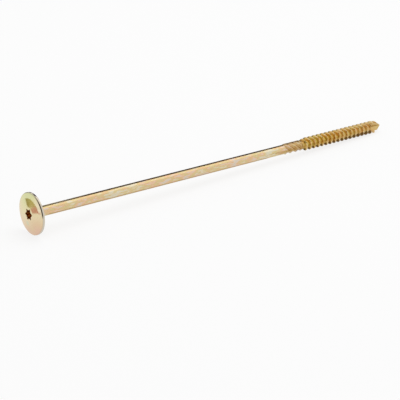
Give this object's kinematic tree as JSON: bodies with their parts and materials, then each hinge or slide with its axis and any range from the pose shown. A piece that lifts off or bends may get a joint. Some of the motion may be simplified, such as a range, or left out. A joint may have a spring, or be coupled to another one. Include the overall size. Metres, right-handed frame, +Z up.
{
  "type": "construction screw",
  "caption": "Long timber construction screw with a wide flat wafer head, six-lobe drive, plain shank, milled ribs, coarse right-hand thread and notched point.",
  "frame": {"origin": "on the ground, under the middle of the screw's box as it lies on its side", "axes": "+X from the head towards the point, which dips by 1.8 degrees; +Z up; the screw lies on the rim of its head and on the last full crest of its thread"},
  "size_m": [0.263, 0.024, 0.024],
  "materials": {
    "yellow_zinc": "hardened steel, zinc plated and yellow passivated, with gold, pink and green tints"
  },
  "bodies": {
    "root": {"screw": "yellow_zinc"}
  },
  "joints": []
}
